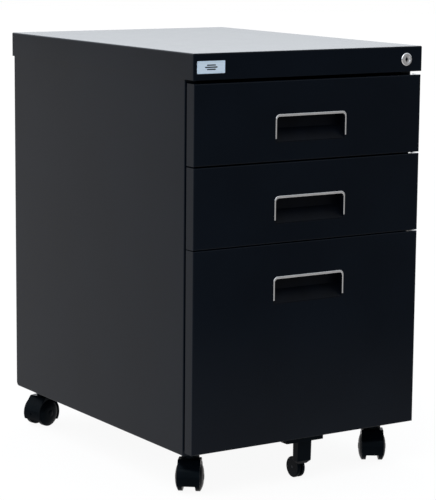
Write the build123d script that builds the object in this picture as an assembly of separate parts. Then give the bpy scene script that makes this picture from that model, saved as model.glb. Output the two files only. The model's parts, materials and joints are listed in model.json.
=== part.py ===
from build123d import *
import math
import os

# A three-drawer mobile pedestal filing cabinet in folded sheet steel: two box drawers and one
# file drawer on ball-bearing slides, a central lock, four twin-wheel castors and a fifth
# anti-tilt castor under the file drawer.
# Row frame: millimetres, +X to the right seen from the front, +Y to the back, +Z up.
# The origin is on the floor, under the middle of the cabinet.

# ---- Driving dimensions ----
SHEET = 1.0

CAP_WIDTH = 393.0
CAP_DEPTH = 535.0
CAP_TOP = 626.0
CAP_BOTTOM = 589.5
CAP_EDGE_RADIUS = 2.0
CAP_FASCIA_RETURN = 12.0

BODY_WIDTH = 390.0
BODY_FRONT = 24.0
BODY_REAR = 531.0
BODY_BOTTOM = 60.0
BODY_CORNER_RADIUS = 7.0
BODY_BEND_RADIUS = 1.5
FRONT_FLANGE = 18.0
FRONT_FLANGE_LIP = 4.0
REAR_FLANGE = 14.0
BOTTOM_FLANGE = 12.0

# Each drawer: bottom and top of its front, floor and top of its tray, slide centre, catch centre.
DRAWERS = {
    1: {"bottom": 471.4, "top": 584.4, "tray": 8.0, "tray_height": 84.0, "slide": 40.0, "catch": 80.0},
    2: {"bottom": 355.7, "top": 469.4, "tray": 8.0, "tray_height": 84.0, "slide": 40.0, "catch": 80.0},
    3: {"bottom": 65.5, "top": 354.4, "tray": 10.0, "tray_height": 235.0, "slide": 60.0, "catch": 100.0},
}
FRONT_WIDTH = 390.0
FRONT_RETURN = 19.0
FRONT_TOP_RETURN = 10.0
FRONT_EDGE_RADIUS = 1.5
INNER_PANEL_FRONT = 17.0
INNER_PANEL_TOP_GAP = 2.5
TRAY_HALF_WIDTH = 163.8
TRAY_FRONT = INNER_PANEL_FRONT + SHEET
TRAY_REAR = 479.0
TRAY_HEM = 6.0

# Recessed pull, measured down from the top of its drawer front.
PULL_TOP = 46.7
TRIM_HALF_WIDTH = 61.0
TRIM_BAR = 3.4
TRIM_LEG = 2.0
TRIM_LENGTH = 34.3
TRIM_PROUD = 1.2
TRIM_CORNER_RADIUS = 7.0
CUP_CORNER_RADIUS = 6.0
CUP_WALL = 1.4
CUP_DEPTH = 16.6
CUP_SLOPE_START = 19.0
CUP_HEIGHT = 38.0

# Ball-bearing slides.
SLIDE_LENGTH = 450.0
SLIDE_FRONT = 40.0
SLIDE_OUTER_HALF_HEIGHT = 22.5
SLIDE_MIDDLE_HALF_HEIGHT = 17.7
SLIDE_INNER_HALF_HEIGHT = 13.2
SLIDE_STEEL = 1.2
SLIDE_THICKNESS = 12.7
SLIDE_SCREW_RADIUS = 2.0
SLIDE_SCREW_HEAD_RADIUS = 4.0
SLIDE_SCREW_HEAD = 1.3
UPRIGHT_FACE = TRAY_HALF_WIDTH + SLIDE_THICKNESS
UPRIGHT_WIDTH = 30.0
UPRIGHT_BOTTOM = 65.0
UPRIGHT_TOP = 589.0
FRONT_UPRIGHT = 46.0
REAR_UPRIGHT = 430.0

# Cam lock, its crank and the vertical lock bar.
LOCK_X = 167.5
LOCK_Z = 607.3
LOCK_FLANGE_RADIUS = 9.4
LOCK_FLANGE_PROUD = 1.6
LOCK_CASE_RADIUS = 8.0
LOCK_CASE_LENGTH = 22.0
PLUG_RADIUS = 6.0
PLUG_CLEARANCE = 0.05
PLUG_RECESS = 1.1
PLUG_LENGTH = 26.0
KEY_DISH_RADIUS = 2.3
KEY_DISH_DEPTH = 1.5
CRANK_RADIUS = 10.0
CRANK_REST_ANGLE = 45.0
CRANK_PIN_RADIUS = 2.0
CRANK_THICKNESS = 2.2
YOKE_CLEARANCE = 0.5
BAR_FRONT = 30.0
BAR_THICKNESS = 2.0
BAR_INNER_X = 180.0
BAR_OUTER_X = 190.0
BAR_BOTTOM = 80.0
HOOK_FRONT = 36.0
HOOK_HEIGHT = 9.0
HOOK_INNER_X = 166.0
CATCH_HALF_HEIGHT = 5.0
CATCH_REACH = 10.0
GUIDE_HEIGHTS = (130.0, 330.0, 575.0)

# Badge plate on the fascia.
BADGE_LEFT = -191.0
BADGE_RIGHT = -146.2
BADGE_BOTTOM = 598.2
BADGE_TOP = 615.5
BADGE_PROUD = 0.8

# Hooded twin-wheel castors. A heading is the way the wheels trail, in degrees from the front.
CASTOR_X = 162.0
CASTOR_FRONT = 56.0
CASTOR_REAR = 496.0
CASTORS = {
    "front_left": (-CASTOR_X, CASTOR_FRONT, -38.5),
    "front_right": (CASTOR_X, CASTOR_FRONT, -33.0),
    "rear_left": (-CASTOR_X, CASTOR_REAR, -72.0),
    "rear_right": (CASTOR_X, CASTOR_REAR, -140.0),
}
WHEEL_RADIUS = 21.0
WHEEL_INNER = 7.5
WHEEL_RIM = 17.5
WHEEL_HUB = 20.0
TRAIL = 8.0
HOOD_GAP = 1.0
HOOD_WALL = 1.8
HOOD_HALF_WIDTH = 16.5
HOOD_TRAILING_END = 11.3
HOOD_LEADING_END = 8.0
HOOD_DIMPLE_RADIUS = 2.4
SADDLE_TOP = 47.5
SADDLE_FLAT_HALF = 9.0
SADDLE_FOOT_HALF = 19.5
SADDLE_FOOT = 34.65
WEB_HALF_WIDTH = 6.0
STEM_RADIUS = 4.0
STEM_BOSS_RADIUS = 6.9
HOOD_NECK_RADIUS = 13.0
HOOD_NECK_TOP = 56.5
STEM_COLLAR_RADIUS = 12.0
STEM_COLLAR_BOTTOM = 57.0
STEM_FOOT = 30.0
STEM_TOP = 72.0
CASTOR_AXLE_RADIUS = 3.0
RUNNING_CLEARANCE = 0.05
CASTOR_PLATE = 42.0
CASTOR_PLATE_THICKNESS = 3.0
NUT_HEIGHT = 6.0

# Fifth, anti-tilt castor.
BRACE_PLATE_HALF_WIDTH = 32.5
BRACE_LEG_HALF_WIDTH = 12.0
BRACE_LEG_FRONT = 3.0
BRACE_LEG_REAR = 17.0
BRACE_LEG_BOTTOM = 25.5
BRACE_LEG_TAPER = 7.0
BRACE_WHEEL_RADIUS = 15.5
BRACE_WHEEL_INNER = 2.0
BRACE_WHEEL_OUTER = 6.4
BRACE_AXLE_DEPTH = 25.0
BRACE_AXLE_HEIGHT = 17.5
BRACE_AXLE_RADIUS = 2.0
BRACE_ARM_HALF_WIDTH = 1.6

# ---- Derived places ----
FRONT_Y = -CAP_DEPTH / 2 + LOCK_FLANGE_PROUD / 2
HALF_BODY = BODY_WIDTH / 2
HALF_CAP = CAP_WIDTH / 2
HALF_FRONT = FRONT_WIDTH / 2
PIN_SHIFT = CRANK_RADIUS * math.sin(math.radians(CRANK_REST_ANGLE))
PIN_Z = LOCK_Z - PIN_SHIFT
LOCK_TRAVEL = 2 * PIN_SHIFT


# ---- Helpers ----
def block(x0, x1, d0, d1, z0, z1):
    """A box between two corners; d0 and d1 are depths behind the front plane."""
    centre = ((x0 + x1) / 2, FRONT_Y + (d0 + d1) / 2, (z0 + z1) / 2)
    return Pos(*centre) * Box(abs(x1 - x0), abs(d1 - d0), abs(z1 - z0))


def rod_y(radius, x, d0, d1, z):
    """A round bar along Y."""
    return Pos(x, FRONT_Y + (d0 + d1) / 2, z) * Rot(90, 0, 0) * Cylinder(radius, abs(d1 - d0))


def rod_x(radius, x0, x1, depth, z):
    """A round bar along X."""
    return Pos((x0 + x1) / 2, FRONT_Y + depth, z) * Rot(0, 90, 0) * Cylinder(radius, abs(x1 - x0))


def rod_z(radius, x, depth, z0, z1):
    """A round bar along Z."""
    return Pos(x, FRONT_Y + depth, (z0 + z1) / 2) * Cylinder(radius, abs(z1 - z0))


def mirrored(shape):
    """The same shape on the other side of the cabinet's middle plane."""
    return mirror(shape, about=Plane.YZ)


def side_profile(points, half_width):
    """A prism across the cabinet, from an outline of (depth, height) points."""
    outline = [(FRONT_Y + depth, height) for depth, height in points]
    face = make_face(Plane.YZ * Polyline(*outline, close=True))
    return extrude(face, amount=half_width, both=True)


def save(name, *solids):
    """Writes one sub-part, which may be a group of separate solids."""
    shape = solids[0] if len(solids) == 1 else Compound(children=list(solids))
    shape.label = name
    export_step(shape, f"parts/{name}.step")


def edges_at(shape, axis, value):
    """The edges that lie wholly in one plane across an axis."""
    return shape.edges().filter_by_position(axis, value - 0.01, value + 0.01)


# ---- Carcass ----
def top_cap():
    outer = block(-HALF_CAP, HALF_CAP, 0, CAP_DEPTH, CAP_BOTTOM, CAP_TOP)
    rounded = edges_at(outer, Axis.Z, CAP_TOP) + outer.edges().filter_by(Axis.Z)
    outer = fillet(rounded, CAP_EDGE_RADIUS)
    hollow = block(-HALF_CAP + SHEET, HALF_CAP - SHEET, SHEET, CAP_DEPTH - SHEET,
                   CAP_BOTTOM, CAP_TOP - SHEET)
    hollow = fillet(hollow.edges().filter_by(Axis.Z), CAP_EDGE_RADIUS - SHEET)
    fascia_return = block(-HALF_CAP + 2 * SHEET, HALF_CAP - 2 * SHEET, SHEET, CAP_FASCIA_RETURN,
                          CAP_BOTTOM, CAP_BOTTOM + SHEET)
    lock_hole = rod_y(LOCK_CASE_RADIUS, LOCK_X, 0, SHEET, LOCK_Z)
    return outer - hollow + fascia_return - lock_hole


def side_panel():
    """The left side, folded in along its front, rear and bottom edges."""
    x = -HALF_BODY
    top = CAP_TOP - SHEET
    wall = block(x, x + SHEET, BODY_FRONT, BODY_REAR, BODY_BOTTOM, top)
    front = block(x, x + FRONT_FLANGE, BODY_FRONT, BODY_FRONT + SHEET, BODY_BOTTOM, top)
    lip = block(x + FRONT_FLANGE - SHEET, x + FRONT_FLANGE, BODY_FRONT,
                BODY_FRONT + FRONT_FLANGE_LIP, BODY_BOTTOM, top)
    rear = block(x, x + REAR_FLANGE, BODY_REAR - SHEET, BODY_REAR, BODY_BOTTOM, top)
    foot = block(x, x + BOTTOM_FLANGE, BODY_FRONT, BODY_REAR, BODY_BOTTOM, BODY_BOTTOM + SHEET)
    envelope = block(x, x + FRONT_FLANGE, BODY_FRONT, BODY_REAR, BODY_BOTTOM, top)
    rear_corner = envelope.edges().filter_by(Axis.X).sort_by(Axis.Z)[:2].sort_by(Axis.Y)[-1]
    envelope = fillet(rear_corner, BODY_CORNER_RADIUS)
    outside = envelope.edges().filter_by(Axis.Z).sort_by(Axis.X)[:2]
    envelope = fillet(outside, BODY_BEND_RADIUS)
    return (wall + front + lip + rear + foot) & envelope


def back_panel():
    half = HALF_BODY - SHEET
    rear = BODY_REAR - SHEET
    wall = block(-half, half, rear - SHEET, rear, BODY_BOTTOM + 2 * SHEET, CAP_TOP - SHEET)
    foot = block(-half + BOTTOM_FLANGE, half - BOTTOM_FLANGE, rear - BOTTOM_FLANGE, rear,
                 BODY_BOTTOM + 2 * SHEET, BODY_BOTTOM + 3 * SHEET)
    return wall + foot


def base_pan():
    half = HALF_BODY - SHEET
    floor = block(-half, half, BODY_FRONT + SHEET, BODY_REAR - SHEET,
                  BODY_BOTTOM + SHEET, BODY_BOTTOM + 2 * SHEET)
    clear_lip = block(half - FRONT_FLANGE, half, BODY_FRONT, BODY_FRONT + FRONT_FLANGE_LIP,
                      BODY_BOTTOM, BODY_BOTTOM + 3 * SHEET)
    front_edge = block(-half + FRONT_FLANGE, half - FRONT_FLANGE, BODY_FRONT, BODY_FRONT + SHEET,
                       BODY_BOTTOM, BODY_BOTTOM + 2 * SHEET)
    pan = floor - clear_lip - mirrored(clear_lip) + front_edge
    for x, depth, _ in CASTORS.values():
        pan -= rod_z(STEM_RADIUS, x, depth, BODY_BOTTOM, BODY_BOTTOM + 3 * SHEET)
    return pan


def front_rail():
    half = HALF_BODY - SHEET
    front, bottom, depth = 42.0, 596.0, 20.0
    web = block(-half, half, front, front + SHEET, bottom, CAP_TOP - SHEET)
    foot = block(-half, half, front, front + depth, bottom, bottom + SHEET)
    return web + foot


def upright(start):
    """A left-hand channel that carries the slides."""
    outer = -HALF_BODY + SHEET
    web = block(-UPRIGHT_FACE - SHEET, -UPRIGHT_FACE, start, start + UPRIGHT_WIDTH,
                UPRIGHT_BOTTOM, UPRIGHT_TOP)
    near = block(outer, -UPRIGHT_FACE, start, start + SHEET, UPRIGHT_BOTTOM, UPRIGHT_TOP)
    far = block(outer, -UPRIGHT_FACE, start + UPRIGHT_WIDTH - SHEET, start + UPRIGHT_WIDTH,
                UPRIGHT_BOTTOM, UPRIGHT_TOP)
    channel = web + near + far
    for drawer in DRAWERS.values():
        channel -= rod_x(SLIDE_SCREW_RADIUS, outer + SHEET, -UPRIGHT_FACE,
                         start + UPRIGHT_WIDTH / 2, drawer["bottom"] + drawer["slide"])
    return channel


def bumpers():
    """Rubber buffers that each drawer front closes against."""
    radius, inset, from_end = 4.0, 9.0, 20.0
    face = INNER_PANEL_FRONT + SHEET + 0.4
    pads = []
    for drawer in DRAWERS.values():
        for height in (drawer["bottom"] + from_end, drawer["top"] - from_end):
            pad = rod_y(radius, -HALF_BODY + inset, face, BODY_FRONT, height)
            pads += [pad, mirrored(pad)]
    return pads


# ---- Slides ----
def channel_member(centre, face, web_near, web_far, flange_far, half_height, start, length):
    """One left-hand C-shaped slide member; web and flange places are measured from the upright."""
    x = -face
    web = block(x + web_near, x + web_far, start, start + length,
                centre - half_height, centre + half_height)
    low = block(x + web_near, x + flange_far, start, start + length,
                centre - half_height, centre - half_height + SLIDE_STEEL)
    high = block(x + web_near, x + flange_far, start, start + length,
                 centre + half_height - SLIDE_STEEL, centre + half_height)
    return web + low + high


def slide_outer(centre):
    member = channel_member(centre, UPRIGHT_FACE, 0, SLIDE_STEEL, 9.5, SLIDE_OUTER_HALF_HEIGHT,
                            SLIDE_FRONT, SLIDE_LENGTH)
    lip, x = 2.0, -UPRIGHT_FACE
    edge = SLIDE_OUTER_HALF_HEIGHT - SLIDE_STEEL
    for low, high in ((centre + edge - lip, centre + edge), (centre - edge, centre - edge + lip)):
        member += block(x + 9.5 - SLIDE_STEEL, x + 9.5, SLIDE_FRONT, SLIDE_FRONT + SLIDE_LENGTH,
                        low, high)
    for start in (FRONT_UPRIGHT, REAR_UPRIGHT):
        member -= rod_x(SLIDE_SCREW_RADIUS, x, x + SLIDE_STEEL, start + UPRIGHT_WIDTH / 2, centre)
    return member


def slide_middle(centre):
    return channel_member(centre, UPRIGHT_FACE, 3.0, 3.0 + SLIDE_STEEL, 10.5,
                          SLIDE_MIDDLE_HALF_HEIGHT, SLIDE_FRONT + 2, SLIDE_LENGTH - 8)


def slide_inner(centre):
    """The member on the drawer opens the other way: its web lies on the tray."""
    return channel_member(centre, TRAY_HALF_WIDTH, 0, -SLIDE_STEEL, -6.8,
                          SLIDE_INNER_HALF_HEIGHT, SLIDE_FRONT, SLIDE_LENGTH)


def slide_screws():
    screws = []
    for drawer in DRAWERS.values():
        for start in (FRONT_UPRIGHT, REAR_UPRIGHT):
            depth = start + UPRIGHT_WIDTH / 2
            height = drawer["bottom"] + drawer["slide"]
            inside = -UPRIGHT_FACE + SLIDE_STEEL
            head = rod_x(SLIDE_SCREW_HEAD_RADIUS, inside, inside + SLIDE_SCREW_HEAD, depth, height)
            shank = rod_x(SLIDE_SCREW_RADIUS, -UPRIGHT_FACE - 6, inside, depth, height)
            screw = head + shank
            screws += [screw, mirrored(screw)]
    return screws


# ---- Drawers ----
def drawer_front(drawer):
    """The folded overlay front, with its opening for the pull cup."""
    bottom, top = drawer["bottom"], drawer["top"]
    outer = block(-HALF_FRONT, HALF_FRONT, 0, FRONT_RETURN, bottom, top)
    outer = fillet(edges_at(outer, Axis.Y, FRONT_Y), FRONT_EDGE_RADIUS)
    hollow = block(-HALF_FRONT + SHEET, HALF_FRONT - SHEET, SHEET, FRONT_RETURN,
                   bottom + SHEET, top - SHEET)
    short_top = block(-HALF_FRONT + SHEET, HALF_FRONT - SHEET, FRONT_TOP_RETURN, FRONT_RETURN,
                      top - SHEET, top)
    opening = cup_outline(drawer, 0.2)
    return outer - hollow - short_top - opening


def top_corners_rounded(shape, radius):
    """Rounds the two corners where the sides of a front-to-back shape meet its top."""
    return fillet(shape.edges().filter_by(Axis.Y).sort_by(Axis.Z)[-2:], radius)


def cup_outline(drawer, grow):
    """The block that the pull cup's mouth fills."""
    mouth_top = drawer["top"] - PULL_TOP - TRIM_BAR / 2
    half = TRIM_HALF_WIDTH - TRIM_LEG / 2
    mouth = block(-half - grow, half + grow, 0, SHEET,
                  mouth_top - CUP_HEIGHT - grow, mouth_top + grow)
    return top_corners_rounded(mouth, CUP_CORNER_RADIUS + grow)


def pull_cup(drawer):
    """A moulded scoop, deep at the top and sloping out to the front plane at the bottom."""
    top = drawer["top"] - PULL_TOP - TRIM_BAR / 2
    bottom = top - CUP_HEIGHT
    bend = top - CUP_SLOPE_START
    half = TRIM_HALF_WIDTH - TRIM_LEG / 2
    skin = side_profile([(0, top), (CUP_DEPTH, top), (CUP_DEPTH, bend - CUP_WALL / 2),
                         (SHEET + CUP_WALL, bottom), (0, bottom)], half)
    skin = top_corners_rounded(skin, CUP_CORNER_RADIUS)
    scoop = side_profile([(-1, top - CUP_WALL), (CUP_DEPTH - CUP_WALL, top - CUP_WALL),
                          (CUP_DEPTH - CUP_WALL, bend), (0, bottom + CUP_WALL),
                          (-1, bottom + CUP_WALL)], half - CUP_WALL)
    scoop = top_corners_rounded(scoop, CUP_CORNER_RADIUS - CUP_WALL)
    rim_back = block(-half - 3, half + 3, SHEET, SHEET + 1.2, bottom - 3, top + 3)
    hole = top_corners_rounded(block(-half + 1, half - 1, 0, 3, bottom + 1, top - 1),
                               CUP_CORNER_RADIUS - 1)
    return skin - scoop + (rim_back - hole - scoop)


def pull_trim(drawer):
    """The bright three-sided frame round the pull, open at the bottom."""
    top = drawer["top"] - PULL_TOP
    bottom = top - TRIM_LENGTH
    outer = block(-TRIM_HALF_WIDTH, TRIM_HALF_WIDTH, -TRIM_PROUD, 0, bottom, top)
    outer = top_corners_rounded(outer, TRIM_CORNER_RADIUS)
    inner_half = TRIM_HALF_WIDTH - TRIM_LEG
    inner = block(-inner_half, inner_half, -TRIM_PROUD, 0, bottom, top - TRIM_BAR)
    inner = top_corners_rounded(inner, TRIM_CORNER_RADIUS - TRIM_LEG)
    trim = outer - inner
    return fillet(edges_at(trim, Axis.Y, FRONT_Y - TRIM_PROUD), 0.5)


def inner_panel(drawer):
    """The plate that closes the back of the hollow front and joins it to the tray."""
    half = HALF_FRONT - SHEET
    return block(-half, half, INNER_PANEL_FRONT, INNER_PANEL_FRONT + SHEET,
                 drawer["bottom"] + SHEET, drawer["top"] - INNER_PANEL_TOP_GAP)


def tray(drawer):
    floor = drawer["bottom"] + drawer["tray"]
    top = floor + drawer["tray_height"]
    half = TRAY_HALF_WIDTH
    outer = block(-half, half, TRAY_FRONT, TRAY_REAR, floor, top)
    hollow = block(-half + SHEET, half - SHEET, TRAY_FRONT + SHEET, TRAY_REAR - SHEET,
                   floor + SHEET, top)
    hem = block(-half, -half + TRAY_HEM, TRAY_FRONT, TRAY_REAR, top - SHEET, top)
    return outer - hollow + hem + mirrored(hem)


def lock_catch(drawer):
    """A small angle on the tray's right side that a hook of the lock bar holds."""
    height = drawer["bottom"] + drawer["catch"]
    depth = HOOK_FRONT + BAR_THICKNESS + 1.5
    x = TRAY_HALF_WIDTH
    plate = block(x, x + 1.5, depth, depth + 22, height - CATCH_HALF_HEIGHT,
                  height + CATCH_HALF_HEIGHT)
    ear = block(x, x + CATCH_REACH, depth, depth + 2, height - CATCH_HALF_HEIGHT,
                height + CATCH_HALF_HEIGHT)
    return plate + ear


def file_rails(drawer):
    """Two rails that hanging files hook over, 311 mm apart."""
    top = drawer["bottom"] + drawer["tray"] + drawer["tray_height"] + 6
    half_spacing, thickness, height = 155.5, 2.0, 16.0
    rail = block(-half_spacing - thickness / 2, -half_spacing + thickness / 2,
                 TRAY_FRONT + SHEET, TRAY_REAR - SHEET, top - height, top)
    return [rail, mirrored(rail)]


# ---- Lock ----
def lock_case():
    flange = rod_y(LOCK_FLANGE_RADIUS, LOCK_X, -LOCK_FLANGE_PROUD, 0, LOCK_Z)
    flange = fillet(edges_at(flange, Axis.Y, FRONT_Y - LOCK_FLANGE_PROUD), 1.4)
    case = rod_y(LOCK_CASE_RADIUS, LOCK_X, 0, LOCK_CASE_LENGTH, LOCK_Z)
    bore = rod_y(PLUG_RADIUS + PLUG_CLEARANCE, LOCK_X, -LOCK_FLANGE_PROUD - 1,
                 LOCK_CASE_LENGTH + 1, LOCK_Z)
    return flange + case - bore


def lock_nut():
    hexagon = extrude(Plane.XZ * RegularPolygon(12.0, 6), amount=-4.0)
    hexagon = Pos(LOCK_X, FRONT_Y + SHEET, LOCK_Z) * hexagon
    return hexagon - rod_y(LOCK_CASE_RADIUS, LOCK_X, 0, LOCK_CASE_LENGTH, LOCK_Z)


def lock_plug():
    """The turning plug, with its keyway upright at rest."""
    face = -LOCK_FLANGE_PROUD + PLUG_RECESS
    keyway = block(LOCK_X - 1.1, LOCK_X + 1.1, face, face + 12, LOCK_Z - 3.9, LOCK_Z + 3.9)
    dish = rod_y(KEY_DISH_RADIUS, LOCK_X, face, face + KEY_DISH_DEPTH, LOCK_Z)
    return rod_y(PLUG_RADIUS, LOCK_X, face, PLUG_LENGTH, LOCK_Z) - keyway - dish


def lock_crank():
    """An arm on the back of the plug, whose pin drives the lock bar."""
    pin_x = LOCK_X - PIN_SHIFT
    back = PLUG_LENGTH + CRANK_THICKNESS
    hub = rod_y(5.0, LOCK_X, PLUG_LENGTH, back, LOCK_Z)
    end = rod_y(3.6, pin_x, PLUG_LENGTH, back, PIN_Z)
    middle = ((LOCK_X + pin_x) / 2, FRONT_Y + PLUG_LENGTH + CRANK_THICKNESS / 2, (LOCK_Z + PIN_Z) / 2)
    arm = Pos(*middle) * Rot(0, -CRANK_REST_ANGLE, 0) * Box(CRANK_RADIUS, CRANK_THICKNESS, 7.0)
    pin = rod_y(CRANK_PIN_RADIUS, pin_x, back, BAR_FRONT + BAR_THICKNESS + 2, PIN_Z)
    return hub + end + arm + pin


def lock_bar():
    """A vertical bar with a yoke at the top that the crank pin lifts."""
    back = BAR_FRONT + BAR_THICKNESS
    yoke_half = 7.0
    strip = block(BAR_INNER_X, BAR_OUTER_X, BAR_FRONT, back, BAR_BOTTOM, PIN_Z + yoke_half)
    yoke = block(150, BAR_OUTER_X, BAR_FRONT, back, PIN_Z - yoke_half, PIN_Z + yoke_half)
    reach = CRANK_PIN_RADIUS + YOKE_CLEARANCE
    slot = block(LOCK_X - CRANK_RADIUS - reach - 1, LOCK_X - PIN_SHIFT + reach + 1,
                 BAR_FRONT, back, PIN_Z - reach, PIN_Z + reach)
    return strip + yoke - slot


def lock_hooks():
    """One hook for each drawer, just under its catch while the lock is open."""
    hooks = []
    clearance = 1.5
    for drawer in DRAWERS.values():
        top = drawer["bottom"] + drawer["catch"] - CATCH_HALF_HEIGHT - clearance
        back = HOOK_FRONT + BAR_THICKNESS
        leg = block(BAR_INNER_X, BAR_INNER_X + 3, BAR_FRONT + BAR_THICKNESS, back,
                    top - HOOK_HEIGHT, top)
        toe = block(HOOK_INNER_X, BAR_INNER_X + 3, HOOK_FRONT, back, top - HOOK_HEIGHT, top)
        hooks.append(leg + toe)
    return hooks


def lock_bar_guides():
    """U-shaped straps on the side panel that the lock bar slides in."""
    gap, strap = 0.3, 1.2
    wall = HALF_BODY - SHEET
    front = BAR_FRONT - gap - strap
    back = BAR_FRONT + BAR_THICKNESS + gap
    guides = []
    for height in GUIDE_HEIGHTS:
        low, high = height - 8, height + 8
        guide = block(BAR_INNER_X - 1, wall, front, front + strap, low, high)
        guide += block(BAR_INNER_X - 1, wall, back, back + strap, low, high)
        guide += block(BAR_OUTER_X + gap, wall, front, back + strap, low, high)
        guides.append(guide)
    return guides


def badge_plate():
    plate = block(BADGE_LEFT, BADGE_RIGHT, -BADGE_PROUD, 0, BADGE_BOTTOM, BADGE_TOP)
    return fillet(plate.edges().filter_by(Axis.Y), 0.8)


# ---- Castors ----
def placed(shape, place):
    """Turns a castor piece, made trailing along +Y about the origin, to its heading and place."""
    x, depth, heading = place
    return Pos(x, FRONT_Y + depth, 0) * Rot(0, 0, 180 + heading) * shape


def local_rod(radius, half_length, y, z):
    """A bar across a castor piece."""
    return Pos(0, y, z) * Rot(0, 90, 0) * Cylinder(radius, 2 * half_length)


def hood_shell():
    """The mudguard over both wheels, open below its two ends."""
    inner = WHEEL_RADIUS + HOOD_GAP
    outer = inner + HOOD_WALL
    ring = (local_rod(outer, HOOD_HALF_WIDTH, TRAIL, WHEEL_RADIUS)
            - local_rod(inner, HOOD_HALF_WIDTH, TRAIL, WHEEL_RADIUS))
    reach = outer + 1
    below_rear = Pos(0, TRAIL + reach / 2, 0) * Box(60, reach, 2 * HOOD_TRAILING_END)
    below_front = Pos(0, TRAIL - reach / 2, 0) * Box(60, reach, 2 * HOOD_LEADING_END)
    dimple = Pos(0, TRAIL + outer, WHEEL_RADIUS) * Rot(90, 0, 0) * Cylinder(HOOD_DIMPLE_RADIUS, 2.0)
    return ring - below_rear - below_front - dimple


def hood_saddle():
    """The flat top of the mudguard, which slopes down to meet its round flanks."""
    outline = [(TRAIL - SADDLE_FOOT_HALF, SADDLE_FOOT), (TRAIL - SADDLE_FLAT_HALF, SADDLE_TOP),
               (TRAIL + SADDLE_FLAT_HALF, SADDLE_TOP), (TRAIL + SADDLE_FOOT_HALF, SADDLE_FOOT)]
    face = make_face(Plane.YZ * Polyline(*outline, close=True))
    saddle = extrude(face, amount=HOOD_HALF_WIDTH, both=True)
    saddle = fillet(edges_at(saddle, Axis.Z, SADDLE_TOP).filter_by(Axis.X), 3.0)
    return fillet(edges_at(saddle, Axis.Z, SADDLE_TOP), 1.0)


def castor_hood():
    """Mudguard, middle web, stem socket and axle boss in one moulding."""
    inner = WHEEL_RADIUS + HOOD_GAP
    web = local_rod(inner + HOOD_WALL / 2, WEB_HALF_WIDTH, TRAIL, WHEEL_RADIUS)
    web -= Pos(0, TRAIL, 0) * Box(60, 80, 2 * HOOD_TRAILING_END)
    socket_foot, neck_foot = 14.0, 30.0
    socket = Pos(0, 0, (HOOD_NECK_TOP + socket_foot) / 2) * Cylinder(STEM_BOSS_RADIUS,
                                                                    HOOD_NECK_TOP - socket_foot)
    neck = Pos(0, 0, (HOOD_NECK_TOP + neck_foot) / 2) * Cylinder(HOOD_NECK_RADIUS,
                                                                HOOD_NECK_TOP - neck_foot)
    upper = neck + hood_saddle() - local_rod(inner, WHEEL_HUB, TRAIL, WHEEL_RADIUS)
    hood = hood_shell() + web + socket + upper
    bore_foot = STEM_FOOT - 1
    bore_top = HOOD_NECK_TOP + 1
    hood -= Pos(0, 0, (bore_foot + bore_top) / 2) * Cylinder(STEM_RADIUS + RUNNING_CLEARANCE,
                                                             bore_top - bore_foot)
    return hood - local_rod(CASTOR_AXLE_RADIUS, WEB_HALF_WIDTH + 1, TRAIL, WHEEL_RADIUS)


def castor_axle():
    return local_rod(CASTOR_AXLE_RADIUS, WHEEL_RIM, TRAIL, WHEEL_RADIUS)


def castor_wheel():
    """One domed wheel with its running bore."""
    bore = CASTOR_AXLE_RADIUS + RUNNING_CLEARANCE
    taper_start, taper, crown = 13.0, 2.0, 1.2
    with BuildPart() as wheel:
        with BuildSketch(Plane.XZ):
            with BuildLine():
                Polyline((WHEEL_HUB, bore), (WHEEL_INNER, bore), (WHEEL_INNER, taper_start),
                         (WHEEL_INNER + taper, WHEEL_RADIUS), (WHEEL_RIM - taper, WHEEL_RADIUS))
                ThreePointArc((WHEEL_RIM - taper, WHEEL_RADIUS),
                              (WHEEL_RIM + crown, WHEEL_RADIUS * 0.7), (WHEEL_HUB, bore))
            make_face()
        revolve(axis=Axis.X)
    return Pos(0, TRAIL, WHEEL_RADIUS) * wheel.part


def castor_stems():
    stems = []
    for x, depth, _ in CASTORS.values():
        shaft = rod_z(STEM_RADIUS, x, depth, STEM_FOOT, STEM_TOP)
        collar = rod_z(STEM_COLLAR_RADIUS, x, depth, STEM_COLLAR_BOTTOM, BODY_BOTTOM + SHEET)
        stems.append(shaft + collar)
    return stems


def castor_plates():
    plates = []
    bottom = BODY_BOTTOM + 2 * SHEET
    for x, depth, _ in CASTORS.values():
        half = CASTOR_PLATE / 2
        plate = block(x - half, x + half, depth - half, depth + half,
                      bottom, bottom + CASTOR_PLATE_THICKNESS)
        plates.append(plate - rod_z(STEM_RADIUS, x, depth, bottom, STEM_TOP))
    return plates


def castor_nuts():
    nuts = []
    bottom = BODY_BOTTOM + 2 * SHEET + CASTOR_PLATE_THICKNESS
    for x, depth, _ in CASTORS.values():
        hexagon = extrude(RegularPolygon(7.5, 6), amount=NUT_HEIGHT)
        nut = Pos(x, FRONT_Y + depth, bottom) * hexagon
        nuts.append(nut - rod_z(STEM_RADIUS, x, depth, bottom, STEM_TOP))
    return nuts


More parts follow.
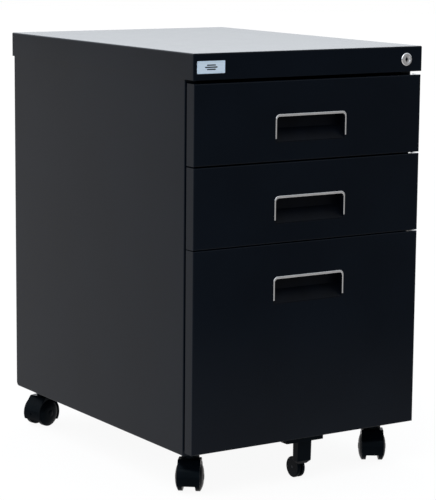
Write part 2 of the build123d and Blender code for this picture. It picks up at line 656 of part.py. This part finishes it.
# ---- Fifth castor ----
def brace_leg(drawer):
    """Plate, leg and wheel arm in one moulding, under the file drawer's front."""
    top = drawer["bottom"]
    plate = block(-BRACE_PLATE_HALF_WIDTH, BRACE_PLATE_HALF_WIDTH, 1.5, FRONT_RETURN,
                  top - 5.5, top)
    plate = fillet(plate.edges().filter_by(Axis.Z), 2.0)
    leg = side_profile([(BRACE_LEG_FRONT, top - 5), (BRACE_LEG_REAR, top - 5),
                        (BRACE_LEG_REAR, BRACE_LEG_BOTTOM), (BRACE_LEG_FRONT + 5, BRACE_LEG_BOTTOM),
                        (BRACE_LEG_FRONT + 1, BRACE_LEG_BOTTOM + 5)], BRACE_LEG_HALF_WIDTH)
    leg = fillet(leg.edges().filter_by(Axis.Z).sort_by(Axis.Y)[:2], 2.5)
    for side in (-1, 1):
        corner = Pos(side * BRACE_LEG_HALF_WIDTH, FRONT_Y + BRACE_LEG_FRONT, BRACE_LEG_BOTTOM)
        leg -= corner * Rot(0, 45, 0) * Box(BRACE_LEG_TAPER, 4 * BRACE_LEG_HALF_WIDTH, BRACE_LEG_TAPER)
        leg -= rod_x(BRACE_WHEEL_RADIUS + 1, side * (BRACE_WHEEL_INNER - 0.4),
                     side * (BRACE_LEG_HALF_WIDTH + 1), BRACE_AXLE_DEPTH, BRACE_AXLE_HEIGHT)
    arm = side_profile([(BRACE_LEG_FRONT + 2, 40), (BRACE_LEG_REAR, 40),
                        (BRACE_AXLE_DEPTH + 4, BRACE_AXLE_HEIGHT + 5),
                        (BRACE_AXLE_DEPTH + 4, BRACE_AXLE_HEIGHT - 5),
                        (BRACE_AXLE_DEPTH - 4, BRACE_AXLE_HEIGHT - 6)], BRACE_ARM_HALF_WIDTH)
    hole = rod_x(BRACE_AXLE_RADIUS, -BRACE_LEG_HALF_WIDTH, BRACE_LEG_HALF_WIDTH,
                 BRACE_AXLE_DEPTH, BRACE_AXLE_HEIGHT)
    return plate + leg + arm - hole


def brace_axle():
    return rod_x(BRACE_AXLE_RADIUS, -BRACE_WHEEL_OUTER, BRACE_WHEEL_OUTER,
                 BRACE_AXLE_DEPTH, BRACE_AXLE_HEIGHT)


def brace_wheels():
    wheel = rod_x(BRACE_WHEEL_RADIUS, BRACE_WHEEL_INNER, BRACE_WHEEL_OUTER,
                  BRACE_AXLE_DEPTH, BRACE_AXLE_HEIGHT)
    wheel = fillet(edges_at(wheel, Axis.X, BRACE_WHEEL_OUTER), 1.5)
    wheel -= rod_x(BRACE_AXLE_RADIUS + RUNNING_CLEARANCE, 0, BRACE_LEG_HALF_WIDTH,
                   BRACE_AXLE_DEPTH, BRACE_AXLE_HEIGHT)
    return [wheel, mirrored(wheel)]


# ---- Every sub-part ----
os.makedirs("parts", exist_ok=True)

left_side = side_panel()
save("top_cap", top_cap())
save("side_panel_left", left_side)
save("side_panel_right", mirrored(left_side))
save("back_panel", back_panel())
save("base_pan", base_pan())
save("front_rail", front_rail())
for name, start in (("front_uprights", FRONT_UPRIGHT), ("rear_uprights", REAR_UPRIGHT)):
    left_upright = upright(start)
    save(name, left_upright, mirrored(left_upright))
save("slide_screws", *slide_screws())
save("drawer_bumpers", *bumpers())
save("badge_plate", badge_plate())

save("lock_case", lock_case())
save("lock_nut", lock_nut())
save("lock_plug", lock_plug())
save("lock_crank", lock_crank())
save("lock_bar", lock_bar())
save("lock_hooks", *lock_hooks())
save("lock_bar_guides", *lock_bar_guides())

for number, drawer in DRAWERS.items():
    save(f"drawer_{number}_front", drawer_front(drawer))
    save(f"drawer_{number}_inner_panel", inner_panel(drawer))
    save(f"drawer_{number}_tray", tray(drawer))
    save(f"drawer_{number}_pull_cup", pull_cup(drawer))
    save(f"drawer_{number}_pull_trim", pull_trim(drawer))
    save(f"drawer_{number}_lock_catch", lock_catch(drawer))
    centre = drawer["bottom"] + drawer["slide"]
    for member, maker in (("outers", slide_outer), ("middles", slide_middle), ("inners", slide_inner)):
        left = maker(centre)
        save(f"slide_{member}_{number}", left, mirrored(left))

file_drawer = DRAWERS[3]
save("file_rails", *file_rails(file_drawer))
save("brace_leg", brace_leg(file_drawer))
save("brace_axle", brace_axle())
save("brace_wheels", *brace_wheels())

save("castor_plates", *castor_plates())
save("castor_stems", *castor_stems())
save("castor_nuts", *castor_nuts())
for corner, place in CASTORS.items():
    wheel = castor_wheel()
    save(f"castor_{corner}_hood", placed(castor_hood(), place), placed(castor_axle(), place))
    save(f"castor_{corner}_wheels", placed(wheel, place), placed(mirrored(wheel), place))

print("lock bar travel", round(LOCK_TRAVEL, 3))
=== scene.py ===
import json
import math

import bmesh
import bpy
from mathutils import Matrix, Vector


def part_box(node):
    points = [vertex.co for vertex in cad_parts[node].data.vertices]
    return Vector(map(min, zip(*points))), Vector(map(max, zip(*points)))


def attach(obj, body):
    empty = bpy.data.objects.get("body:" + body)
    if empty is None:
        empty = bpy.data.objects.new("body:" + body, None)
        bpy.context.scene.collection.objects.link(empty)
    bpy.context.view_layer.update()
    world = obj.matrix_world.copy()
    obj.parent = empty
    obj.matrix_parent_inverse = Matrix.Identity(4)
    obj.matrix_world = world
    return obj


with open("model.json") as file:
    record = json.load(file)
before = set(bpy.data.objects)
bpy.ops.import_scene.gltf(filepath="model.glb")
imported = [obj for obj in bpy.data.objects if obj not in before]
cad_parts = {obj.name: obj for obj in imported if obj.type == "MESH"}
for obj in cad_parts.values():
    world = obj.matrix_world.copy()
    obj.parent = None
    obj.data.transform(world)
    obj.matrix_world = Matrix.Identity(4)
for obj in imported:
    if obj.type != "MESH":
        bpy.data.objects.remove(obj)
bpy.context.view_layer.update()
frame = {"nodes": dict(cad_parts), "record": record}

# A black three-drawer mobile pedestal. All lengths are in metres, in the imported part's frame:
# +X to the right seen from the front, +Y to the back, +Z up, with the floor at zero.

scene = bpy.context.scene
JOINTS = frame["record"]["behaviour"]["joints"]
MM = 0.001
SHEET = 1.0 * MM

# The camera.
CAMERA_PLACE = (-1.6481, -2.5699, 0.8114)
CAMERA_AZIMUTH = math.radians(-33.26)
CAMERA_ELEVATION = math.radians(9.44)
CAMERA_ROLL = math.radians(0.567)
SENSOR_MM = 36.0
LENS_MM = 145.0
SHIFT = (-0.0208, -0.0011)
CLIP = (0.05, 100.0)

# The studio. The surround and the floor's reflection both dim towards the front right. A span
# gives where a change starts and ends along that direction, or up the sky for RISE_SPAN.
WHITE = (1.0, 1.0, 1.0)
DIM_TOWARDS = (0.55, -0.83, 0.0)
SKY_TINT = (0.945, 0.985, 1.035)
SKY_SPAN = (-0.1, 0.8)
SKY_BRIGHT = 1.0
SKY_DIM = 0.40
RISE_SPAN = (0.02, 0.09)
SKY_BELOW = 0.12
SKY_ABOVE = 1.68
FLOOR_RADIUS = 14.0
FLOOR_TINT = (1.0, 0.975, 0.965)
FLOOR_SPAN = (0.1, 1.4)
FLOOR_BACK = 0.92
FLOOR_FRONT = 0.33
FLOOR_MATT = (0.95, 0.95, 0.95)
SHADOW_SHARE = 0.07


# ---- Camera ----
def add_camera():
    """A long lens from the front left, a little above the top of the cabinet."""
    back = Vector((math.sin(CAMERA_AZIMUTH) * math.cos(CAMERA_ELEVATION),
                   -math.cos(CAMERA_AZIMUTH) * math.cos(CAMERA_ELEVATION),
                   math.sin(CAMERA_ELEVATION)))
    data = bpy.data.cameras.new("camera")
    data.sensor_width = SENSOR_MM
    data.lens = LENS_MM
    data.shift_x, data.shift_y = SHIFT
    data.clip_start, data.clip_end = CLIP
    camera = bpy.data.objects.new("camera", data)
    aim = back.to_track_quat("Z", "Y").to_matrix().to_4x4()
    roll = Matrix.Rotation(CAMERA_ROLL, 4, "Z")
    camera.matrix_world = Matrix.Translation(Vector(CAMERA_PLACE)) @ aim @ roll
    scene.collection.objects.link(camera)
    scene.camera = camera


# ---- Node helpers ----
class Nodes:
    """Makes and joins the nodes of one shader tree."""

    def __init__(self, tree):
        self.tree = tree

    def node(self, kind, **settings):
        made = self.tree.nodes.new(kind)
        for key, value in settings.items():
            setattr(made, key, value)
        return made

    def feed(self, socket, value):
        """Joins a socket to another node's output, or sets it to a constant."""
        if isinstance(value, bpy.types.NodeSocket):
            self.tree.links.new(value, socket)
        else:
            socket.default_value = value

    def spread(self, value, low, high, to_low=0.0, to_high=1.0, **settings):
        """Stretches a value from one span to another, held at both ends."""
        made = self.node("ShaderNodeMapRange", clamp=True, **settings)
        for name, setting in zip(("Value", "From Min", "From Max", "To Min", "To Max"),
                                 (value, low, high, to_low, to_high)):
            self.feed(made.inputs[name], setting)
        return made.outputs["Result"]

    def maths(self, operation, first, second):
        made = self.node("ShaderNodeMath", operation=operation)
        self.feed(made.inputs[0], first)
        self.feed(made.inputs[1], second)
        return made.outputs[0]

    def dot(self, first, second):
        made = self.node("ShaderNodeVectorMath", operation="DOT_PRODUCT")
        self.feed(made.inputs[0], first)
        self.feed(made.inputs[1], second)
        return made.outputs["Value"]

    def upward_part(self, vector):
        split = self.node("ShaderNodeSeparateXYZ")
        self.feed(split.inputs[0], vector)
        return split.outputs["Z"]

    def glow(self, kind, colour, strength):
        """A background or an emission of one colour."""
        made = self.node(kind)
        self.feed(made.inputs["Color"], (*colour, 1.0))
        self.feed(made.inputs["Strength"], strength)
        return made.outputs[0]

    def mix_shaders(self, factor, first, second):
        made = self.node("ShaderNodeMixShader")
        self.feed(made.inputs["Fac"], factor)
        self.feed(made.inputs[1], first)
        self.feed(made.inputs[2], second)
        return made.outputs[0]


class Paint(Nodes):
    """A Principled material under construction, with its pattern in the part's own metres."""

    def __init__(self, name, **constants):
        self.material = bpy.data.materials.new(name)
        self.material.use_nodes = True
        super().__init__(self.material.node_tree)
        self.shader = self.tree.nodes["Principled BSDF"]
        for socket, value in constants.items():
            self.shader.inputs[socket.replace("_", " ")].default_value = value
        self.place = self.node("ShaderNodeTexCoord").outputs["Object"]

    def noise(self, scale, detail=2.0, stretch=None):
        made = self.node("ShaderNodeTexNoise")
        place = self.place
        if stretch:
            mapping = self.node("ShaderNodeMapping")
            self.feed(mapping.inputs["Vector"], place)
            mapping.inputs["Scale"].default_value = stretch
            place = mapping.outputs["Vector"]
        self.feed(made.inputs["Vector"], place)
        made.inputs["Scale"].default_value = scale
        made.inputs["Detail"].default_value = detail
        return made.outputs["Fac"]

    def cells(self, scale):
        made = self.node("ShaderNodeTexVoronoi")
        self.feed(made.inputs["Vector"], self.place)
        made.inputs["Scale"].default_value = scale
        return made.outputs["Color"]

    def blend(self, factor, first, second):
        """Mixes two colours. Inputs 6 and 7 and output 2 are the mix node's colour sockets."""
        made = self.node("ShaderNodeMix", data_type="RGBA")
        self.feed(made.inputs["Factor"], factor)
        for socket, value in ((made.inputs[6], first), (made.inputs[7], second)):
            self.feed(socket, value if isinstance(value, bpy.types.NodeSocket) else (*value, 1.0))
        return made.outputs[2]

    def edges(self, radius):
        """Zero on flat surfaces and one where the surface turns within this radius."""
        bevel = self.node("ShaderNodeBevel", samples=6)
        bevel.inputs["Radius"].default_value = radius
        flat = self.node("ShaderNodeNewGeometry").outputs["Normal"]
        return self.spread(self.dot(bevel.outputs["Normal"], flat), 0.995, 0.88)

    def facing_up(self):
        """Zero on walls and one on level surfaces."""
        flat = self.node("ShaderNodeNewGeometry").outputs["Normal"]
        return self.spread(self.upward_part(flat), 0.6, 1.0)

    def bumps(self, *layers):
        """Height patterns laid over each other, each with its depth in metres."""
        normal = None
        for height, depth in layers:
            bump = self.node("ShaderNodeBump")
            bump.inputs["Strength"].default_value = 1.0
            bump.inputs["Distance"].default_value = depth
            self.feed(bump.inputs["Height"], height)
            if normal:
                self.feed(bump.inputs["Normal"], normal)
            normal = bump.outputs["Normal"]
        self.feed(self.shader.inputs["Normal"], normal)

    def finish(self, colour, roughness):
        self.feed(self.shader.inputs["Base Color"], colour)
        self.feed(self.shader.inputs["Roughness"], roughness)
        return self.material


# ---- Materials ----
def powder_coat():
    """Satin black powder coat: fine orange peel, faint dust and slightly rubbed edges."""
    paint = Paint("black_powder_coat", IOR=1.20)
    peel = paint.noise(520.0, 2.0)
    grain = paint.noise(2600.0, 3.0)
    cloud = paint.noise(7.0, 4.0)
    colour = paint.blend(paint.spread(cloud, 0.35, 0.65),
                         (0.0008, 0.0026, 0.0058), (0.0014, 0.0036, 0.0074))
    dust = paint.maths("MULTIPLY", paint.facing_up(), paint.spread(grain, 0.45, 0.75, 0.0, 0.10))
    colour = paint.blend(dust, colour, (0.10, 0.10, 0.10))
    rubbed = paint.maths("MULTIPLY", paint.edges(1.2 * MM),
                         paint.spread(paint.noise(90.0, 3.0), 0.42, 0.72, 0.06, 0.26))
    colour = paint.blend(rubbed, colour, (0.034, 0.036, 0.040))
    rough = paint.spread(paint.noise(38.0, 4.0), 0.3, 0.7, 0.135, 0.150)
    rough = paint.maths("ADD", rough, paint.spread(grain, 0.3, 0.7, -0.01, 0.01))
    paint.bumps((peel, 0.002 * MM), (grain, 0.0006 * MM))
    return paint.finish(colour, rough)


def zinc_plate():
    """Bright zinc: a faint crystal pattern, rolled streaks and duller patches."""
    paint = Paint("zinc_plate", Metallic=1.0)
    patches = paint.noise(26.0, 4.0)
    crystals = paint.cells(260.0)
    colour = paint.blend(paint.spread(patches, 0.35, 0.65), (0.46, 0.47, 0.49), (0.62, 0.63, 0.64))
    colour = paint.blend(paint.spread(crystals, 0.0, 1.0, 0.0, 0.25), colour, (0.70, 0.72, 0.76))
    streaks = paint.noise(900.0, 2.0, stretch=(1.0, 0.03, 1.0))
    rough = paint.spread(streaks, 0.3, 0.7, 0.26, 0.40)
    paint.bumps((streaks, 0.006 * MM))
    return paint.finish(colour, rough)


def bright_chrome():
    """Plated trim: almost smooth, with hairline polish marks and dulled edges."""
    paint = Paint("bright_chrome", Metallic=1.0)
    marks = paint.noise(1500.0, 2.0, stretch=(0.05, 1.0, 1.0))
    colour = paint.blend(paint.spread(paint.noise(60.0, 3.0), 0.3, 0.7),
                         (0.80, 0.81, 0.83), (0.90, 0.91, 0.92))
    dulled = paint.spread(paint.edges(0.4 * MM), 0.0, 1.0, 0.0, 0.15)
    colour = paint.blend(dulled, colour, (0.55, 0.56, 0.58))
    rough = paint.spread(marks, 0.3, 0.7, 0.07, 0.14)
    paint.bumps((marks, 0.001 * MM))
    return paint.finish(colour, rough)


def badge_silver():
    """Satin silver with fine brushing along its length."""
    paint = Paint("silver_badge", Metallic=0.2)
    brush = paint.noise(2400.0, 2.0, stretch=(0.02, 1.0, 1.0))
    colour = paint.blend(paint.spread(brush, 0.3, 0.7), (0.60, 0.73, 0.86), (0.72, 0.86, 0.99))
    rough = paint.spread(paint.noise(140.0, 3.0), 0.3, 0.7, 0.28, 0.42)
    paint.bumps((brush, 0.004 * MM))
    return paint.finish(colour, rough)


def moulded_plastic(name, dark, light, roughness, grain_scale, depth, ior, gloss=WHITE):
    """Moulded plastic: a fine sparked grain, flow clouding and slightly worn edges."""
    paint = Paint(name, IOR=ior, Specular_Tint=(*gloss, 1.0))
    grain = paint.noise(grain_scale, 3.0)
    flow = paint.noise(45.0, 4.0)
    colour = paint.blend(paint.spread(flow, 0.3, 0.7), dark, light)
    worn = paint.spread(paint.edges(0.8 * MM), 0.0, 1.0, 0.0, 0.25)
    colour = paint.blend(worn, colour, tuple(4.0 * part + 0.01 for part in light))
    rough = paint.spread(grain, 0.3, 0.7, roughness - 0.05, roughness + 0.05)
    paint.bumps((grain, depth), (flow, depth))
    return paint.finish(colour, rough)


MATERIALS = {
    "black_steel": powder_coat(),
    "zinc_steel": zinc_plate(),
    "chrome": bright_chrome(),
    "badge_silver": badge_silver(),
    "black_plastic": moulded_plastic(
        "black_plastic", dark=(0.0008, 0.0014, 0.0028), light=(0.0016, 0.0026, 0.0050),
        roughness=0.40, grain_scale=1400.0, depth=0.01 * MM, ior=1.15),
    "castor_nylon": moulded_plastic(
        "castor_nylon", dark=(0.0006, 0.0012, 0.0020), light=(0.0012, 0.0022, 0.0036),
        roughness=0.24, grain_scale=900.0, depth=0.006 * MM, ior=1.11, gloss=(0.70, 0.88, 1.0)),
    "rubber": moulded_plastic(
        "rubber", dark=(0.010, 0.010, 0.010), light=(0.018, 0.018, 0.018),
        roughness=0.75, grain_scale=700.0, depth=0.04 * MM, ior=1.4),
}


def dress_cad_nodes():
    """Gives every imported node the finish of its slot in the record."""
    slots = {part["node"]: part["material_slot"] for part in frame["record"]["subparts"]}
    for node, obj in frame["nodes"].items():
        material = MATERIALS[slots[node]]
        if not obj.material_slots:
            obj.data.materials.append(material)
        for slot in obj.material_slots:
            slot.material = material


# ---- Studio ----
def studio():
    """A white surround that lights the cabinet less from low down and from the front right."""
    world = bpy.data.worlds.new("studio")
    world.use_nodes = True
    scene.world = world
    world.node_tree.nodes.clear()
    sky = Nodes(world.node_tree)
    outwards = sky.node("ShaderNodeTexCoord").outputs["Generated"]
    around = sky.spread(sky.dot(outwards, DIM_TOWARDS), *SKY_SPAN, SKY_BRIGHT, SKY_DIM,
                        interpolation_type="SMOOTHSTEP")
    rise = sky.spread(sky.upward_part(outwards), *RISE_SPAN, SKY_BELOW, SKY_ABOVE)
    lit = sky.glow("ShaderNodeBackground", SKY_TINT, sky.maths("MULTIPLY", around, rise))
    seen = sky.glow("ShaderNodeBackground", WHITE, 1.0)
    direct = sky.node("ShaderNodeLightPath").outputs["Is Camera Ray"]
    out = sky.node("ShaderNodeOutputWorld")
    sky.feed(out.inputs["Surface"], sky.mix_shaders(direct, lit, seen))


def floor():
    """A round pale floor that keeps a faint shadow, and is clear from underneath."""
    mesh = bpy.data.meshes.new("floor")
    form = bmesh.new()
    bmesh.ops.create_circle(form, cap_ends=True, segments=96, radius=FLOOR_RADIUS)
    form.to_mesh(mesh)
    form.free()
    obj = bpy.data.objects.new("floor", mesh)
    scene.collection.objects.link(obj)
    material = bpy.data.materials.new("pale_floor")
    material.use_nodes = True
    material.node_tree.nodes.clear()
    pale = Nodes(material.node_tree)
    place = pale.node("ShaderNodeTexCoord").outputs["Object"]
    strength = pale.spread(pale.dot(place, DIM_TOWARDS), *FLOOR_SPAN, FLOOR_BACK, FLOOR_FRONT)
    reflected = pale.glow("ShaderNodeEmission", FLOOR_TINT, strength)
    white = pale.glow("ShaderNodeEmission", WHITE, 1.0)
    matt = pale.node("ShaderNodeBsdfDiffuse")
    pale.feed(matt.inputs["Color"], (*FLOOR_MATT, 1.0))
    seen = pale.mix_shaders(SHADOW_SHARE, white, matt.outputs[0])
    direct = pale.node("ShaderNodeLightPath").outputs["Is Camera Ray"]
    above = pale.mix_shaders(direct, reflected, seen)
    underneath = pale.node("ShaderNodeNewGeometry").outputs["Backfacing"]
    clear = pale.node("ShaderNodeBsdfTransparent").outputs[0]
    out = pale.node("ShaderNodeOutputMaterial")
    pale.feed(out.inputs["Surface"], pale.mix_shaders(underneath, above, clear))
    mesh.materials.append(material)


def key_light():
    """One soft area light, high at the front left."""
    place = Vector((-1.2, -1.6, 2.6))
    aim = Vector((0.0, 0.0, 0.3))
    data = bpy.data.lights.new("key_light", "AREA")
    data.shape = "RECTANGLE"
    data.size, data.size_y = 1.6, 1.2
    data.energy = 12.0
    lamp = bpy.data.objects.new("key_light", data)
    turn = (place - aim).to_track_quat("Z", "Y").to_matrix().to_4x4()
    lamp.matrix_world = Matrix.Translation(place) @ turn
    scene.collection.objects.link(lamp)


# ---- Shapes ----
def piece(name, form, slot, body, crease=35.0):
    """Makes an object of a finished mesh and lets it ride on a body."""
    bmesh.ops.remove_doubles(form, verts=form.verts, dist=1e-7)
    bmesh.ops.recalc_face_normals(form, faces=form.faces)
    mesh = bpy.data.meshes.new(name)
    form.to_mesh(mesh)
    form.free()
    mesh.polygons.foreach_set("use_smooth", [True] * len(mesh.polygons))
    mesh.set_sharp_from_angle(angle=math.radians(crease))
    mesh.materials.append(MATERIALS[slot])
    obj = bpy.data.objects.new(name, mesh)
    scene.collection.objects.link(obj)
    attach(obj, body)


def lathe(form, profile, centre, axis, steps):
    """Turns a profile of (along the axis, radius) points about an axis.

    A point on the axis is made again at every step, and piece() merges them.
    """
    axis = Vector(axis).normalized()
    side = axis.orthogonal().normalized()
    rings = []
    for step in range(steps):
        out = Matrix.Rotation(math.tau * step / steps, 3, axis) @ side
        rings.append([form.verts.new(Vector(centre) + axis * along + out * radius)
                      for along, radius in profile])
    for near, far in zip(rings, rings[1:] + rings[:1]):
        for n in range(len(profile) - 1):
            form.faces.new((near[n], near[n + 1], far[n + 1], far[n]))


def dome(radius, height):
    """The profile of a button-shaped head that stands on its base."""
    steps = 5
    turns = [math.pi / 2 * n / steps for n in range(steps + 1)]
    return [(height * math.sin(turn), radius * math.cos(turn)) for turn in turns]


def ridge(form, start, end, normal, half_width, height):
    """A pressed rib: a low half-round bar with rounded ends, closed underneath."""
    arc, taper = 8, 5
    start, end, normal = Vector(start), Vector(end), Vector(normal)
    along = (end - start).normalized()
    across = normal.cross(along)
    length = (end - start).length
    turns = [math.pi / 2 * (n + 0.5) / taper for n in range(taper)]
    near = [(half_width * (1 - math.cos(turn)), math.sin(turn)) for turn in turns]
    stations = near + [(length - gap, size) for gap, size in reversed(near)]
    section = [(half_width * math.cos(math.pi * n / arc), height * math.sin(math.pi * n / arc))
               for n in range(arc + 1)]
    rings = []
    for gap, size in stations:
        base = start + along * gap
        rings.append([form.verts.new(base + across * (size * out) + normal * (size * up))
                      for out, up in section])
    for near_ring, far_ring in zip(rings, rings[1:]):
        for n in range(arc):
            form.faces.new((near_ring[n], near_ring[n + 1], far_ring[n + 1], far_ring[n]))
        form.faces.new((near_ring[0], far_ring[0], far_ring[arc], near_ring[arc]))
    form.faces.new(rings[0])
    form.faces.new(rings[-1])


def bar(form, low, high, bevel=0.2 * MM):
    """A rectangular bar between two corners, with its edges broken."""
    size = Vector(high) - Vector(low)
    middle = (Vector(high) + Vector(low)) / 2
    made = bmesh.ops.create_cube(form, size=1.0, matrix=Matrix.Translation(middle)
                                 @ Matrix.Diagonal((*size, 1.0)))
    edges = {edge for vert in made["verts"] for edge in vert.link_edges}
    bmesh.ops.bevel(form, geom=list(edges), offset=bevel, segments=2, affect="EDGES")


# ---- Detail pieces ----
def badge_relief():
    """A raised rim and a generic mark of three stacked bars."""
    low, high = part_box("badge_plate")
    back = low.y + 0.1 * MM
    margin, rim, rim_proud = 0.5 * MM, 0.7 * MM, 0.35 * MM
    left, right = low.x + margin, high.x - margin
    foot, head = low.z + margin, high.z - margin
    form = bmesh.new()
    for z in (foot, head - rim):
        bar(form, (left, low.y - rim_proud, z), (right, back, z + rim))
    for x in (left, right - rim):
        bar(form, (x, low.y - rim_proud, foot), (x + rim, back, head))
    piece("badge_rim", form, "badge_silver", "cabinet")
    middle_x, middle_z = (low.x + high.x) / 2, (low.z + high.z) / 2
    pitch, half_height, mark_proud = 2.9 * MM, 0.8 * MM, 0.25 * MM
    form = bmesh.new()
    for row, half_length in ((-1, 7.0 * MM), (0, 10.0 * MM), (1, 7.0 * MM)):
        z = middle_z + row * pitch
        bar(form, (middle_x - half_length, low.y - mark_proud, z - half_height),
            (middle_x + half_length, back, z + half_height))
    piece("badge_mark", form, "black_plastic", "cabinet")


def rear_details():
    """Rivets down the rear flanges and two pressed ribs on the back panel."""
    inset, first, pitch, rows = 8 * MM, 30 * MM, 94 * MM, 6
    rivet = dome(3.0 * MM, 1.1 * MM)
    form = bmesh.new()
    for panel, inward in (("side_panel_left", 1), ("side_panel_right", -1)):
        low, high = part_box(panel)
        x = (low.x if inward > 0 else high.x) + inward * inset
        for row in range(rows):
            lathe(form, rivet, (x, high.y, low.z + first + pitch * row), (0, 1, 0), steps=20)
    piece("rear_rivets", form, "black_steel", "cabinet")
    low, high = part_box("back_panel")
    foot, head, rib_x = low.z + 60 * MM, high.z - 90 * MM, 85 * MM
    form = bmesh.new()
    for x in (-rib_x, rib_x):
        ridge(form, (x, high.y, foot), (x, high.y, head), (0, 1, 0), 5 * MM, 1.0 * MM)
    piece("back_ribs", form, "black_steel", "cabinet")


def base_details():
    """Pressed ribs across the underside of the base."""
    low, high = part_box("base_pan")
    front, back, rib_x = low.y + 70 * MM, high.y - 50 * MM, 75 * MM
    under = low.z + SHEET
    form = bmesh.new()
    for x in (-rib_x, 0.0, rib_x):
        ridge(form, (x, front, under), (x, back, under), (0, 0, -1), 5 * MM, 1.2 * MM)
    piece("base_ribs", form, "black_steel", "cabinet")


def tray_details(number):
    """Pressed ribs in a tray's floor and the screws that hold its front."""
    low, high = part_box(f"drawer_{number}_tray")
    end_gap, rib_x = 40 * MM, 90 * MM
    floor_top = low.z + SHEET
    form = bmesh.new()
    for x in (-rib_x, 0.0, rib_x):
        ridge(form, (x, low.y + end_gap, floor_top), (x, high.y - end_gap, floor_top),
              (0, 0, 1), 4 * MM, 1.0 * MM)
    piece(f"drawer_{number}_tray_ribs", form, "black_steel", f"drawer_{number}")
    near_x, far_x = 50 * MM, 120 * MM
    screw = dome(3.4 * MM, 1.6 * MM)
    form = bmesh.new()
    for x in (-far_x, -near_x, near_x, far_x):
        for z in (low.z + 18 * MM, high.z - 16 * MM):
            lathe(form, screw, (x, low.y + SHEET, z), (0, 1, 0), steps=20)
    piece(f"drawer_{number}_tray_screws", form, "zinc_steel", f"drawer_{number}")


def ball_cages(number):
    """Steel balls in their cages, in the two tracks of each slide's middle member."""
    low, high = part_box(f"slide_middles_{number}")
    centre = (low.z + high.z) / 2
    pitch, count = 12 * MM, 15
    half_width, half_height, overhang = 1.2 * MM, 0.4 * MM, 6 * MM
    # Each track: its distance from the middle plane, its rise, its balls' radius and its start.
    tracks = ((high.x - 3.0 * MM, 19.5 * MM, 1.6 * MM, low.y + 235 * MM),
              (high.x - 5.2 * MM, 14.85 * MM, 1.45 * MM, low.y + 12 * MM))
    cage, balls = bmesh.new(), bmesh.new()
    for side in (-1, 1):
        for out, rise, radius, start in tracks:
            x = side * out
            end = start + pitch * (count - 1)
            for z in (centre - rise, centre + rise):
                bar(cage, (x - half_width, start - overhang, z - half_height),
                    (x + half_width, end + overhang, z + half_height), bevel=0.1 * MM)
                for n in range(count):
                    place = Matrix.Translation((x, start + pitch * n, z))
                    bmesh.ops.create_icosphere(balls, subdivisions=2, radius=radius, matrix=place)
    piece(f"slide_cages_{number}", cage, "zinc_steel", f"slide_middle_{number}")
    piece(f"slide_balls_{number}", balls, "chrome", f"slide_middle_{number}", crease=60.0)


def castor_caps(joint):
    """Stepped hub caps on a castor's two wheels: a rolled rim, a groove and a button."""
    corner = joint["name"].replace("castor_", "").replace("_spin", "")
    axle = Vector(joint["axis"]).normalized()
    hub = 19.2 * MM
    profile = [(hub, 7.6 * MM), (hub + 0.75 * MM, 7.4 * MM), (hub + 0.95 * MM, 6.6 * MM),
               (hub + 0.8 * MM, 5.9 * MM), (hub + 1.0 * MM, 5.2 * MM),
               (hub + 1.5 * MM, 4.2 * MM), (hub + 1.7 * MM, 0.0)]
    form = bmesh.new()
    for side in (-1, 1):
        lathe(form, profile, joint["pos_m"], axle * side, steps=28)
    piece(f"castor_{corner}_caps", form, "castor_nylon", f"castor_{corner}_wheel_pair")


def lock_shutter():
    """A black disc at the bottom of the plug's dish, painted shade for the dark keyhole, and the
    keyway's wards.
    """
    lock = next(joint for joint in JOINTS if joint["name"] == "lock_turn")
    x, z = lock["pos_m"][0], lock["pos_m"][2]
    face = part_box("lock_plug")[0].y
    # Painted shade: a black plastic disc that darkens the keyhole where its own shade would fall.
    profile = [(-0.5 * MM, 0.0), (-0.5 * MM, 0.5 * MM), (-0.2 * MM, 1.9 * MM), (0.0, 2.25 * MM),
               (0.6 * MM, 2.25 * MM), (0.6 * MM, 0.0)]
    form = bmesh.new()
    lathe(form, profile, (x, face + 0.9 * MM, z), (0, 1, 0), steps=28)
    piece("lock_shutter", form, "black_plastic", "lock_plug")
    half_width, height, offset = 0.55 * MM, 1.0 * MM, 2.6 * MM
    form = bmesh.new()
    for foot in (z + offset, z - offset - height):
        bar(form, (x - half_width, face + 1.0 * MM, foot),
            (x + half_width, face + 8.0 * MM, foot + height))
    piece("lock_wards", form, "zinc_steel", "lock_plug")


def add_details():
    badge_relief()
    lock_shutter()
    rear_details()
    base_details()
    for number in (1, 2, 3):
        tray_details(number)
        ball_cages(number)
    for joint in JOINTS:
        if joint["name"].startswith("castor_") and joint["name"].endswith("_spin"):
            castor_caps(joint)


add_camera()
dress_cad_nodes()
add_details()
studio()
floor()
key_light()
scene.view_settings.view_transform = "Standard"
